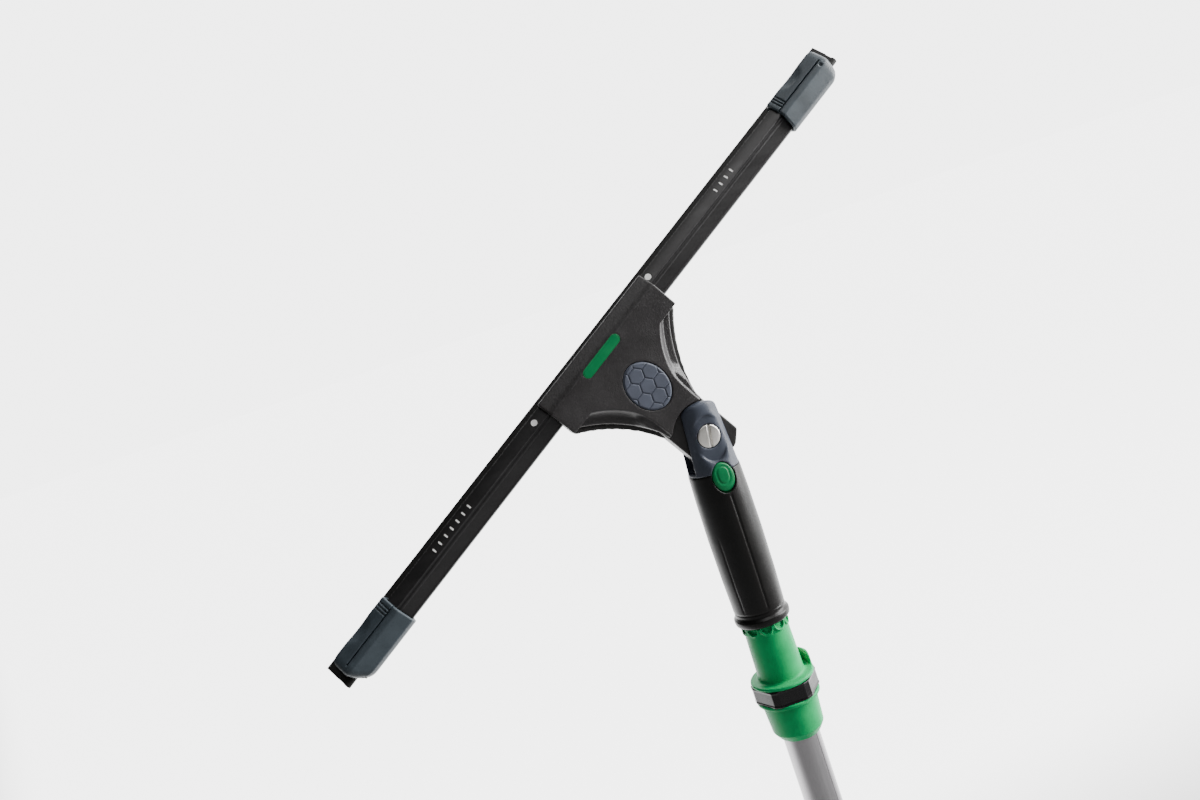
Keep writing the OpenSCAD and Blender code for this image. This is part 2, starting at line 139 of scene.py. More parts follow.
def surface(space, field):
    """Mesh of a field's zero level: one vertex in each mixed cell, one quad across each mixed edge."""
    f = np.ascontiguousarray(np.broadcast_to(field, space.shape)).astype(np.float32)
    cells = tuple(n - 1 for n in space.shape)
    total = np.zeros((3, int(np.prod(cells))))
    count = np.zeros(int(np.prod(cells)))
    quads = []
    for axis in range(3):
        one, two = (axis + 1) % 3, (axis + 2) % 3
        lower = [slice(None)] * 3
        upper = [slice(None)] * 3
        lower[axis], upper[axis] = slice(0, -1), slice(1, None)
        a, b = f[tuple(lower)], f[tuple(upper)]
        at = np.nonzero((a < 0) != (b < 0))
        fa, fb = a[at], b[at]
        index = np.array(at)
        point = index.astype(float)
        point[axis] += fa / (fa - fb)
        inner = np.ones(len(fa), bool)
        for other in (one, two):
            inner &= (index[other] > 0) & (index[other] < space.shape[other] - 1)
        index, point, fa = index[:, inner], point[:, inner], fa[inner]
        corners = []
        for da, db in ((0, 0), (1, 0), (1, 1), (0, 1)):
            cell = index.copy()
            cell[one] -= da
            cell[two] -= db
            flat = np.ravel_multi_index(cell, cells)
            corners.append(flat)
            count += np.bincount(flat, minlength=len(count))
            for k in range(3):
                total[k] += np.bincount(flat, weights=point[k], minlength=len(count))
        quad = np.array(corners).T
        quads.append(np.where((fa < 0)[:, None], quad[:, ::-1], quad))
    used = np.nonzero(count)[0]
    number = np.zeros(len(count), int)
    number[used] = np.arange(len(used))
    vertices = (total[:, used] / count[used]).T * space.step + space.low
    return vertices, number[np.concatenate(quads)]


# ---------------------------------------------------------------- pieces

def add_piece(name, vertices, faces, place, body, slot, material, *replaced):
    """Adds a mesh as a piece that rides on a body and stands for the replaced CAD nodes."""
    mesh = bpy.data.meshes.new(name)
    vertices = np.asarray(vertices, float)
    matrix = np.array(place)
    vertices = vertices @ matrix[:3, :3].T + matrix[:3, 3]
    mesh.from_pydata(vertices.tolist(), [], [list(map(int, f)) for f in faces])
    mesh.validate()
    bm = bmesh.new()
    bm.from_mesh(mesh)
    bmesh.ops.recalc_face_normals(bm, faces=bm.faces)
    bm.to_mesh(mesh)
    bm.free()
    mesh.shade_smooth()
    mesh.materials.append(material)
    piece = bpy.data.objects.new(name, mesh)
    bpy.context.scene.collection.objects.link(piece)
    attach(piece, body)
    if replaced:
        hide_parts(*replaced)
    return piece


def soft_piece(name, space, field, place, body, slot, material, *replaced):
    """Adds the surface of a field as a piece."""
    vertices, faces = surface(space, field)
    return add_piece(name, vertices, faces, place, body, slot, material, *replaced)


def sharp(piece, degrees):
    """Keeps edges steeper than this crisp in the shading."""
    piece.data.set_sharp_from_angle(angle=math.radians(degrees))
    return piece


def fillet(points, radius, steps=3):
    """Rounds each corner of a closed outline; radius may be one number or one per corner."""
    out = []
    n = len(points)
    for i, p in enumerate(points):
        r = radius[i] if hasattr(radius, "__len__") else radius
        p = Vector(p)
        a, b = Vector(points[i - 1]) - p, Vector(points[(i + 1) % n]) - p
        if r <= 0:
            out.append(tuple(p))
            continue
        half = a.angle(b) / 2
        reach = min(r / max(math.tan(half), 0.05), 0.45 * a.length, 0.45 * b.length)
        start, end = p + a.normalized() * reach, p + b.normalized() * reach
        for k in range(steps + 1):
            t = k / steps
            out.append(tuple(start * (1 - t) ** 2 + p * 2 * t * (1 - t) + end * t * t))
    return out


def turned(profile, sides=48):
    """Turns a closed outline of (radius, height) points about z."""
    n = len(profile)
    vertices = [(r * math.cos(a), r * math.sin(a), h)
                for a in (2 * math.pi * i / sides for i in range(sides)) for r, h in profile]
    faces = []
    for i in range(sides):
        j = (i + 1) % sides
        for k in range(n):
            m = (k + 1) % n
            faces.append((i * n + k, j * n + k, j * n + m, i * n + m))
    return vertices, faces


def merged(parts):
    """Joins (vertices, faces, offset) parts into one mesh."""
    vertices, faces = [], []
    for points, polygons, offset in parts:
        start = len(vertices)
        vertices += [tuple(p[k] + offset[k] for k in range(3)) for p in points]
        faces += [tuple(start + i for i in f) for f in polygons]
    return vertices, faces


def swept(path, radius, sides=12):
    """A round wire along a path, with closed ends."""
    path = [Vector(p) for p in path]
    across = Vector((0, 0, 1))
    vertices, faces = [], []
    for i, p in enumerate(path):
        ahead = (path[min(i + 1, len(path) - 1)] - path[max(i - 1, 0)]).normalized()
        across = (across - ahead * across.dot(ahead)).normalized()
        other = ahead.cross(across)
        for k in range(sides):
            t = 2 * math.pi * k / sides
            vertices.append(tuple(p + radius * (math.cos(t) * across + math.sin(t) * other)))
        if i:
            a, b = (i - 1) * sides, i * sides
            for k in range(sides):
                m = (k + 1) % sides
                faces.append((a + k, a + m, b + m, b + k))
    last = (len(path) - 1) * sides
    faces.append(tuple(range(sides))[::-1])
    faces.append(tuple(range(last, last + sides)))
    return vertices, faces


def coil(radius, wire, turns, length, start_y, height):
    """Path of a coil spring along y."""
    steps = int(turns * 28)
    return [(radius * math.cos(2 * math.pi * turns * i / steps),
             start_y + wire + (length - 2 * wire) * i / steps,
             height - radius * math.sin(2 * math.pi * turns * i / steps)) for i in range(steps + 1)]


def extrusion(name, outline, holes, stations, place, body, slot, material, *replaced):
    """Extrudes a closed section (s, m) with holes along w."""
    bm = bmesh.new()
    loops = [outline, *holes]
    rings = [[[bm.verts.new((w, *p)) for p in loop] for loop in loops] for w in stations]
    for a, b in zip(rings, rings[1:]):
        for la, lb in zip(a, b):
            for k in range(len(la)):
                m = (k + 1) % len(la)
                bm.faces.new((la[k], la[m], lb[m], lb[k]))
    for ring in (rings[0], rings[-1]):
        edges = [bm.edges.get(pair) for loop in ring for pair in zip(loop, loop[1:] + loop[:1])]
        bmesh.ops.triangle_fill(bm, use_beauty=True, edges=edges)
    bm.verts.index_update()
    vertices = [tuple(v.co) for v in bm.verts]
    faces = [[v.index for v in f.verts] for f in bm.faces]
    bm.free()
    return sharp(add_piece(name, vertices, faces, place, body, slot, material, *replaced), 32)


def toothed_strip(half, s0, s1, base, tip, depth):
    """A steel strip along w whose one face is cut into small teeth."""
    count = int(half * 2)
    vertices, faces = [], []
    for i in range(count + 1):
        w = -half + i
        m = tip if i % 2 else tip - depth
        vertices += [(w, s0, base), (w, s1, base), (w, s1, m), (w, s0, m)]
        if i:
            a, b = (i - 1) * 4, i * 4
            faces += [(a + k, a + (k + 1) % 4, b + (k + 1) % 4, b + k) for k in range(4)]
    faces += [(3, 2, 1, 0), tuple(count * 4 + k for k in range(4))]
    return vertices, faces


# ---------------------------------------------------------------- materials

def mapped(tree, source, low, high, to_low, to_high, interpolation="LINEAR"):
    """A map range node on a value, and its result."""
    made = tree.nodes.new("ShaderNodeMapRange")
    made.interpolation_type = interpolation
    for name, value in zip(("From Min", "From Max", "To Min", "To Max"), (low, high, to_low, to_high)):
        made.inputs[name].default_value = value
    tree.links.new(source, made.inputs["Value"])
    return made.outputs["Result"]


def make_material(name, colour, rough, metal=0.0, tint=0.12, blotch=90, grain=1500, bump=0.15, depth=0.1,
                  stretch=(1, 1, 1), rough_change=0.08, edge_wear_and_highlight=None, edge_wear_and_highlight_amount=0.0, specular=0.5, speckle=0.0):
    """A material of blotches and fine grain (both in cells per metre) with relief depth in millimetres.

    tint and rough_change say how far the blotches change colour and roughness, speckle how much the grain
    shades the colour; convex edges get the edge colour, partly from wearing and partly a painted highlight.
    """
    mat = bpy.data.materials.new(name)
    mat.use_nodes = True
    tree = mat.node_tree
    shader = tree.nodes["Principled BSDF"]

    def node(kind, **values):
        made = tree.nodes.new(kind)
        for key, value in values.items():
            if key in made.inputs:
                made.inputs[key].default_value = value
            else:
                setattr(made, key, value)
        return made

    def ranged(source, low, high, to_low, to_high):
        return mapped(tree, source, low, high, to_low, to_high)

    def mixed(first, second, amount, blend="MIX"):
        made = node("ShaderNodeMix", data_type="RGBA", blend_type=blend)
        for socket, value in ((0, amount), (6, first), (7, second)):
            if isinstance(value, bpy.types.NodeSocket):
                tree.links.new(value, made.inputs[socket])
            else:
                made.inputs[socket].default_value = value
        return made.outputs[2]

    where = tree.nodes.new("ShaderNodeTexCoord")
    mapping = node("ShaderNodeMapping")
    mapping.inputs["Scale"].default_value = stretch
    tree.links.new(where.outputs["Object"], mapping.inputs["Vector"])
    patches = node("ShaderNodeTexNoise", Scale=blotch, Detail=4.0, Roughness=0.6)
    fine = node("ShaderNodeTexNoise", Scale=grain, Detail=3.0, Roughness=0.65)
    for texture in (patches, fine):
        tree.links.new(mapping.outputs[0], texture.inputs["Vector"])
    dark = tuple(c * (1 - tint) for c in colour) + (1,)
    light = tuple(min(1, c * (1 + tint)) for c in colour) + (1,)
    result = mixed(dark, light, ranged(patches.outputs[0], 0.3, 0.7, 0, 1))
    if speckle:
        result = mixed(result, ranged(fine.outputs[0], 0.3, 0.7, 0.45, 1.35), speckle, "MULTIPLY")
    # convex edges turn lighter: partly wearing, partly a painted highlight of the light the edges catch
    if edge_wear_and_highlight:
        shape = tree.nodes.new("ShaderNodeNewGeometry")
        edge = ranged(shape.outputs["Pointiness"], 0.52, 0.58, 0, 1)
        wear_and_highlight_mask = node("ShaderNodeMath", operation="MULTIPLY")
        tree.links.new(edge, wear_and_highlight_mask.inputs[0])
        tree.links.new(ranged(patches.outputs[0], 0.35, 0.65, 0.2 * edge_wear_and_highlight_amount, edge_wear_and_highlight_amount), wear_and_highlight_mask.inputs[1])
        result = mixed(result, (*edge_wear_and_highlight, 1), wear_and_highlight_mask.outputs[0])
    tree.links.new(result, shader.inputs["Base Color"])
    tree.links.new(ranged(patches.outputs[0], 0.3, 0.7, rough - rough_change, rough + rough_change),
                   shader.inputs["Roughness"])
    relief = node("ShaderNodeBump", Strength=bump, Distance=depth * MM)
    tree.links.new(fine.outputs[0], relief.inputs["Height"])
    tree.links.new(relief.outputs[0], shader.inputs["Normal"])
    shader.inputs["Metallic"].default_value = metal
    shader.inputs["Specular IOR Level"].default_value = specular
    return mat


HEAD_PLASTIC = make_material("head_plastic", (0.018, 0.0165, 0.017), 0.36, grain=1300, bump=0.9, depth=0.25,
                             blotch=70, edge_wear_and_highlight=(0.03, 0.028, 0.028), edge_wear_and_highlight_amount=0.4, specular=0.4, speckle=0.3)
# the frame's lighter edges are partly wearing and partly a painted highlight of the light its lower edges
# catch from the floor
FRAME_PLASTIC = make_material("frame_plastic", (0.015, 0.014, 0.014), 0.45, grain=1300, bump=0.5, depth=0.15,
                              edge_wear_and_highlight=(0.06, 0.055, 0.05), edge_wear_and_highlight_amount=0.6, specular=0.3)
SLATE_PLASTIC = make_material("slate_plastic", (0.034, 0.04, 0.055), 0.42, grain=1800, bump=0.3, depth=0.06,
                              edge_wear_and_highlight=(0.08, 0.09, 0.11), edge_wear_and_highlight_amount=0.5, specular=0.25)
CLIP_PLASTIC = make_material("clip_plastic", (0.028, 0.038, 0.046), 0.5, grain=1400, bump=0.6, depth=0.1,
                             tint=0.2, edge_wear_and_highlight=(0.08, 0.1, 0.115), edge_wear_and_highlight_amount=0.6, specular=0.35)
PAD_RUBBER = make_material("pad_rubber", (0.05, 0.057, 0.078), 0.6, grain=1600, bump=0.5, depth=0.1,
                           edge_wear_and_highlight=(0.07, 0.08, 0.1), edge_wear_and_highlight_amount=0.2, specular=0.3)
GRIP_RUBBER = make_material("grip_rubber", (0.0035, 0.003, 0.0028), 0.38, grain=2200, bump=0.3, depth=0.05,
                            blotch=45, rough_change=0.07, edge_wear_and_highlight=(0.02, 0.018, 0.018), edge_wear_and_highlight_amount=0.3, specular=0.22)
GREEN_PLASTIC = make_material("green_plastic", (0.0, 0.29, 0.085), 0.42, grain=1200, bump=0.2, depth=0.06,
                              tint=0.12, edge_wear_and_highlight=(0.03, 0.3, 0.12), edge_wear_and_highlight_amount=0.5, specular=0.12)
BUTTON_PLASTIC = make_material("button_plastic", (0.0, 0.12, 0.036), 0.4, grain=1200, bump=0.15, depth=0.05,
                               tint=0.1, edge_wear_and_highlight=(0.02, 0.2, 0.08), edge_wear_and_highlight_amount=0.3, specular=0.2)
BAND_PLASTIC = make_material("band_plastic", (0.005, 0.0045, 0.005), 0.25, grain=900, bump=0.15, depth=0.06,
                             blotch=120, edge_wear_and_highlight=(0.05, 0.05, 0.05), edge_wear_and_highlight_amount=0.5, specular=0.25)
ANODISED = make_material("anodised", (0.012, 0.0112, 0.0115), 0.38, metal=0.4, grain=1100, bump=0.12,
                         depth=0.03, blotch=160, stretch=(0.06, 1, 1), rough_change=0.06,
                         edge_wear_and_highlight=(0.05, 0.05, 0.05), edge_wear_and_highlight_amount=0.5)
BLADE_RUBBER = make_material("blade_rubber", (0.006, 0.0055, 0.005), 0.55, grain=1700, bump=0.3, depth=0.04,
                             edge_wear_and_highlight=(0.02, 0.02, 0.02), edge_wear_and_highlight_amount=0.3, specular=0.3)
SCREW_STEEL = make_material("screw_steel", (0.72, 0.7, 0.66), 0.33, metal=1.0, grain=900, bump=0.12,
                            depth=0.03, edge_wear_and_highlight=(0.85, 0.83, 0.8), edge_wear_and_highlight_amount=0.5)
STEEL = make_material("steel", (0.42, 0.4, 0.36), 0.22, metal=1.0, grain=900, bump=0.12, depth=0.03,
                      blotch=500, tint=0.25, rough_change=0.08)
POLE_METAL = make_material("pole_metal", (0.3, 0.29, 0.3), 0.34, metal=0.95, grain=1600, bump=0.12,
                           depth=0.02, blotch=300, stretch=(1, 1, 0.03), tint=0.08, rough_change=0.06)
WASHER_PLASTIC = make_material("washer_plastic", (0.02, 0.02, 0.022), 0.5, grain=1500, bump=0.2, depth=0.04)
WHITE_PRINT = make_material("white_print", (0.85, 0.85, 0.83), 0.6, grain=2500, bump=0.3, depth=0.02,
                            tint=0.05)


# ---------------------------------------------------------------- handle and pole, heights from the pivot

SEAM = -21.3
RIM = -114.2
GRIP_END = RIM - 2
CORE_END = RIM + 13
BUTTON_Z = -24.7
LATCH_Z = -43
FLANGE_T = 2.2
BAND_TALL = 10
UPPER_FLANGE = RIM - 38
BAND_BOTTOM = UPPER_FLANGE - FLANGE_T - BAND_TALL
LOWER_FLANGE = BAND_BOTTOM - FLANGE_T
CUP_BOTTOM = LOWER_FLANGE - 23.4
TUBE_TOP = RIM - 0.8
TUBE_BOTTOM = -400
RIVET_Z = CUP_BOTTOM + 10
CONE_TIP = -38
TAPER_TOP = -47

CORE_R = 13.9
KNUCKLE_R = 20.3
SLOT_HALF = 7.1
SLOT_FLOOR = -20.6
PIVOT_BORE_R = 4.05
SCREW_R = 6.75
SCREW_FACE = -12.4
NUT_HALF = 6.5
NUT_FACE = 9.1
BUTTON_HALF_W = 6.55
BUTTON_HALF_H = 8.7
LATCH_R = 7.4
TUBE_R = 11.2
TUBE_BORE_R = 10
TAPER_BASE_R = 14.1
TAPER_RIM_R = 13.2
TIP_R = 8.3
FLANGE_R = 19.4
CUP_TOP_R = 17


def button_distance(x, z):
    return (np.hypot(x / BUTTON_HALF_W, (z - BUTTON_Z) / BUTTON_HALF_H) - 1) * BUTTON_HALF_W


def make_core():
    g = Space((-16, -16, CORE_END), (16, 16, 20.4), 0.45)
    x, y, z = g.x, g.y, g.z
    across = np.hypot(x, y)
    body = across - (15.8 - 2.9 * (z + 25.5) / 45.8)
    half = 13.8 + 2 * (1 - smooth(SEAM + 2, SEAM + 7, z))
    ends = rounded([np.where(z > 0, np.hypot(x, z), np.abs(x)) - KNUCKLE_R, np.abs(y) - half], 4)
    body = common(body, ends, 1.6)
    body = np.maximum(body, SEAM - z)
    dish = (np.hypot((x - 0.1) / 8.8, (z + 1.6) / 13.2) - 1) * 8.8
    body = carve(body, np.maximum(dish, y + 12.1), 1.8)
    waist = np.hypot((np.abs(x) - 17.6) / 3.2, (z + 9) / 8) - 1
    for _ in range(2):  # the second pass rounds the rim further
        body = carve(body, waist * 3 + 0 * y, 1.2)
    body = np.minimum(body, np.maximum(across - CORE_R, np.maximum(CORE_END - z, z - SEAM - 1)))
    body = carve(body, rounded([np.abs(y) - SLOT_HALF, SLOT_FLOOR - z + 0 * x], 1.2), 0.5)
    pivot = np.hypot(x, z)
    body = np.maximum(body, PIVOT_BORE_R - pivot)
    body = np.maximum(body, -np.maximum(pivot - SCREW_R - 0.3, y + 10))
    body = carve(body, np.maximum(hexagon(x, z, NUT_HALF + 0.15), NUT_FACE - y), 0.3)
    body = carve(body, np.maximum(button_distance(x, z) - 0.3, y + 8), 0.3)
    tail_room = block(x, y, z, (-3.4, -20, LATCH_Z - 3.4), (3.4, -8, BUTTON_Z), 0.2)
    latch_room = block(x, y, z, (-8.8, -20, LATCH_Z - 1.2), (8.8, 10.2, LATCH_Z + 1.2), 0.2)
    body = np.maximum(np.maximum(body, -tail_room), -latch_room)
    bore = across - np.interp(z, [RIM, TAPER_TOP], [TAPER_RIM_R + 0.3, TIP_R + 0.3])
    body = np.maximum(body, -np.maximum(bore, z - CONE_TIP - 1))
    soft_piece("handle_body", g, body, AT_PIVOT, "handle", "slate_plastic", SLATE_PLASTIC, "handle_core")


def make_grip():
    g = Space((-16.9, -16.9, GRIP_END), (16.9, 16.9, SEAM), 0.47)
    x, y, z = g.x, g.y, g.z
    across = np.hypot(x, y)
    turn = np.arctan2(x, -y)
    rim_steps = [0, 0.8, 2.4, 4.2, 5.2, 6, 7.4]
    heights = [GRIP_END + step for step in rim_steps] + [-87.5, -61.5, -37.5, SEAM]
    radii = [15.7, 16.4, 16.75, 16.7, 15.7, 15.25, 15.35, 16.0, 16.35, 16.1, 15.55]
    outer = across - np.interp(z, heights, radii)
    above_rim = smooth(-107, -104, z)
    front_groove = smooth(0.9, 0.2, np.abs(turn * 16 - 0.3)) * smooth(-34, -36, z)
    side_groove = smooth(0.8, 0.2, np.abs(turn * 16 + 15.4)) * smooth(-56, -66, z)
    outer = outer + 0.45 * above_rim * front_groove
    outer = outer + 0.3 * above_rim * side_groove
    outer = outer + 0.3 * smooth(0.7, 0.1, np.abs(z - GRIP_END - 8.4))
    body = rounded([outer, GRIP_END - z, z - SEAM + 0.05], 0.5)
    mouth = np.where(z < CORE_END - 0.1, CORE_R - 0.3, CORE_R + 0.05)
    body = np.maximum(body, mouth - across)
    body = carve(body, np.maximum(button_distance(x, z) - 0.35, y + 8), 0.4)
    soft_piece("grip", g, body, AT_PIVOT, "handle", "grip_rubber", GRIP_RUBBER, "grip_sleeve")


def make_button():
    g = Space((-6.8, -15.2, LATCH_Z - 1), (6.8, -10.2, -15.8), 0.3)
    x, y, z = g.x, g.y, g.z
    edge = button_distance(x, z)
    face = -15.1 + 0.9 * np.clip(1 + edge / 6.65, 0, 1) ** 3
    loop = np.abs(np.hypot(x, np.maximum(np.abs(z - BUTTON_Z - 1.4) - 1.6, 0)) - 3.6)
    face = face + 0.25 * smooth(0.9, 0.25, loop)
    body = rounded([edge, face - y, y + 11.2], 0.7)
    tail = block(x, y, z, (-3, -13.3, LATCH_Z - 1), (3, -12, BUTTON_Z), 0.3)
    body = np.minimum(body, tail)
    nose = np.maximum(np.abs(z - LATCH_Z) - 0.7, np.maximum(-12.2 - y, np.abs(x) - 0.5 + 0.944 * (y + 10.4)))
    body = np.minimum(body, np.maximum(nose, y + 10.4))
    soft_piece("button_cap", g, body, AT_PIVOT, "button", "green_plastic", BUTTON_PLASTIC, "release_button")


def make_pivot():
    g = Space((-6.8, -12.5, -6.8), (6.8, 12.6, 6.8), 0.3)
    x, y, z = g.x, g.y, g.z
    pivot = np.hypot(x, z)
    head = rounded([pivot - SCREW_R, SCREW_FACE + 0.35 * (pivot / SCREW_R) ** 4 - y, y + 10], 0.45)
    slant = math.radians(8)
    slot = np.abs((x - 0.4) * math.cos(slant) - z * math.sin(slant)) - 0.75
    head = carve(head, np.maximum(slot, y + 11.2), 0.25)
    shank = rounded([pivot - 4, y - 12.5, -10.2 - y], 0.5)
    screw = np.minimum(head, shank)
    soft_piece("slotted_screw", g, screw, AT_PIVOT, "screw", "screw_steel", SCREW_STEEL, "pivot_screw")

    g = Space((-7.5, NUT_FACE, -7.5), (7.5, 12.3, 7.5), 0.3)
    x, y, z = g.x, g.y, g.z
    pivot = np.hypot(x, z)
    nut = rounded([hexagon(x, z, NUT_HALF), NUT_FACE - y, y - 12.3], 0.3)
    nut = np.maximum(nut, (pivot - 7.3 + (y - 11.6)) * 0.7)
    nut = np.maximum(nut, PIVOT_BORE_R - pivot)
    soft_piece("hex_nut", g, nut, AT_PIVOT, "handle", "steel", STEEL, "pivot_nut")

    for name, start in (("friction_washer_front", -7.08), ("friction_washer_back", 6.28)):
        outline = [(4.08, start), (9.6, start), (10, start + 0.25), (10, start + 0.55), (9.6, start + 0.8),
                   (7.2, start + 0.8), (7, start + 0.65), (6.8, start + 0.8), (4.08, start + 0.8)]
        vertices, faces = turned(outline, 72)
        sharp(add_piece(name + "_disc", vertices, faces, AT_PIVOT @ ALONG_Y, "handle", "washer",
                        WASHER_PLASTIC, name), 35)


def make_springs():
    vertices, faces = swept(coil(3, 0.3, 4, 3.15, -11.18, BUTTON_Z), 0.3)
    add_piece("button_coil", vertices, faces, AT_PIVOT, "handle", "steel", STEEL, "button_spring")
    half_turn = [math.pi * i / 24 for i in range(25)]
    arc = [(-LATCH_R * math.cos(t), 1.5 + LATCH_R * math.sin(t)) for t in half_turn]
    left = [(-2.9, -11), (-5.2, -9.2), (-6.7, -8.05), (-7.25, -7.3), (-LATCH_R, -6.4), (-LATCH_R, -2)]
    right = [(-x, y) for x, y in reversed(left)]
    path = [(x, y, LATCH_Z) for x, y in left + arc + right]
    vertices, faces = swept(path, 0.77)
    add_piece("latch_wire", vertices, faces, AT_PIVOT, "handle", "steel", STEEL, "latch_spring")
    vertices, faces = swept(coil(3.6, 0.45, 5, 6.7, -7.75, SPRING_V), 0.45)
    add_piece("jaw_coil", vertices, faces, IN_HEAD, "head", "steel", STEEL, "jaw_spring")


def make_cone():
    g = Space((-19.5, -19.5, CUP_BOTTOM), (19.5, 19.5, CONE_TIP), 0.56)
    x, y, z = g.x, g.y, g.z
    across = np.hypot(x, y)
    turn = np.arctan2(x, -y)
    cup = across - np.interp(z, [CUP_BOTTOM, CUP_BOTTOM + 1, CUP_BOTTOM + 4.6, LOWER_FLANGE],
                             [12.6, 13.4, 15.75, CUP_TOP_R])
    body = np.maximum(np.maximum(cup, z - LOWER_FLANGE - 0.5), CUP_BOTTOM - z)
    for low in (LOWER_FLANGE, UPPER_FLANGE - FLANGE_T):
        body = join(body, rounded([across - FLANGE_R, low - z, z - low - FLANGE_T], 0.7), 0.5)
    neck = np.maximum(across - CUP_TOP_R - 0.2, np.maximum(LOWER_FLANGE - z, z - UPPER_FLANGE))
    body = np.minimum(body, neck)
    taper = across - np.interp(z, [UPPER_FLANGE, RIM, TAPER_TOP], [TAPER_BASE_R, TAPER_RIM_R, TIP_R])
    body = join(body, np.maximum(taper, np.maximum(UPPER_FLANGE - 1 - z, z - TAPER_TOP)), 1.6)
    tip = np.maximum(across - TIP_R, np.maximum(TAPER_TOP - 1 - z, z - CONE_TIP))
    tip = np.maximum(tip, (across + z - CONE_TIP - 6.8) * 0.7)
    body = np.minimum(body, tip)
    body = carve(body, np.maximum(6.3 - across, np.abs(z - LATCH_Z) - 1.2), 0.3)
    body = np.maximum(body, -np.maximum(across - 10.95, z - TUBE_TOP - 0.2))
    body = np.maximum(body, -np.maximum(across - 4, z + 56.2))
    tenth = math.radians(36)
    pocket_turn = (np.floor(turn / tenth) + 0.5) * tenth
    pocket = np.hypot((turn - pocket_turn) * across, z - RIM + 3.4)
    pocket_rim = rounded([pocket - 4.3, across - 14.45, 12.4 - across, z - GRIP_END + 0.5], 0.35)
    body = join(body, pocket_rim, 0.6)
    body = carve(body, np.maximum(pocket - 3.1, 12.8 - across), 0.4)
    tab_side = (np.abs(turn - math.radians(106)) - math.radians(29)) * 18
    tab_end = common(tab_side, z - UPPER_FLANGE - 7.8, 5)
    tab = rounded([across - 19.3, 17.2 - across, tab_end, UPPER_FLANGE - 0.5 - z], 0.6)
    body = join(body, tab, 0.4)
    body = np.maximum(body, -np.maximum(np.hypot(x, z - RIVET_Z) - 2.05, -y))
    soft_piece("cone_body", g, body, AT_PIVOT, "pole", "green_plastic", GREEN_PLASTIC, "locking_cone")

    g = Space((-21, -21, BAND_BOTTOM), (21, 21, BAND_BOTTOM + BAND_TALL), 0.42)
    x, y, z = g.x, g.y, g.z
    across = np.hypot(x, y)
    turn = np.arctan2(x, -y) + math.radians(10)
    sixth = math.radians(60)
    facet = across * np.cos(turn - np.round(turn / sixth) * sixth) - 18.4
    corner = across * np.cos(turn - (np.floor(turn / sixth) + 0.5) * sixth) - 20
    from_middle = np.abs(z - BAND_BOTTOM - BAND_TALL / 2)
    facet = np.maximum(facet, corner) + 0.3 * smooth(4.2, 3.7, from_middle)
    band = rounded([facet, from_middle - BAND_TALL / 2], 0.4)
    band = np.maximum(band, CUP_TOP_R + 0.25 - across)
    soft_piece("band_ring", g, band, AT_PIVOT, "pole", "black_plastic", BAND_PLASTIC, "cone_band")

    dome = fillet([(0.01, 10.2), (2, 10.2), (2, 16.6), (3.6, 16.6), (3.2, 17.5), (1.9, 18.1), (0.01, 18.3)],
                  [0, 0.2, 0, 0.3, 0.6, 0.8, 0])
    vertices, faces = turned(dome, 40)
    place = AT_PIVOT @ Matrix.Translation((0, 0, RIVET_Z)) @ ALONG_Y
    add_piece("rivet_dome", vertices, faces, place, "pole", "steel", STEEL, "cone_rivet")

    tube = [(TUBE_BORE_R, TUBE_BOTTOM + 0.3), (TUBE_BORE_R + 0.3, TUBE_BOTTOM), (TUBE_R - 0.3, TUBE_BOTTOM),
            (TUBE_R, TUBE_BOTTOM + 0.3), (TUBE_R, CUP_BOTTOM), (TUBE_R - 0.3, CUP_BOTTOM),
            (TUBE_R - 0.3, TUBE_TOP), (TUBE_BORE_R, TUBE_TOP)]
    sides, score_line = 160, 134
    vertices, faces = turned(tube, sides)
    number = np.arange(len(vertices))
    scored = (number // len(tube) == score_line) & (number % len(tube) < 5)
    vertices = [(p[0] * 0.975, p[1] * 0.975, p[2]) if cut else p for p, cut in zip(vertices, scored)]
    sharp(add_piece("tube", vertices, faces, AT_PIVOT, "pole", "aluminium", POLE_METAL, "pole_tube"), 35)


# ---------------------------------------------------------------- head, in its own frame

# Outlines of the head: half width, the side arc's centre (w, v) and radius, half width of the neck.
SKIRT = (46, 101.7, -11.6, 90.5, 15.2)
LIP = (46.5, 97.9, -6, 87.4, 14.8)
FACE = (46.5, 56.9, 25.4, 45.5, 12)
HUB_R = 21
NECK_V = 16.6
PAD_V = 45.8
BADGE_V = 77
HINGE_Y = -1
HINGE_V = 52
SPRING_V = 37
STRIP_HALF = 40


def blade_section(y, v):
    """Blade coordinates s and m of a point in the head's frame."""
    dy, dv = y - BULB_Y, v - BULB_V
    s = dy * math.sin(BLADE_TILT) + dv * math.cos(BLADE_TILT)
    m = -dy * math.cos(BLADE_TILT) + dv * math.sin(BLADE_TILT)
    return s, m


def outline(line, w, v):
    """Distance to a head outline: sides swept in along an arc, with straight end edges."""
    half, centre_w, centre_v, radius, neck = line
    a = np.abs(w)
    side = join(radius - np.hypot(a - centre_w, v - centre_v), a - neck, 2)
    return common(side, a - half, 1.2)


def pad_distance(w, v):
    return (np.hypot(w / 12.2, (v - PAD_V) / 15.4) - 1) * 12.2


def badge_distance(w, v):
    return np.hypot(np.maximum(np.abs(w + 3.5) - 12, 0), v - BADGE_V) - 3


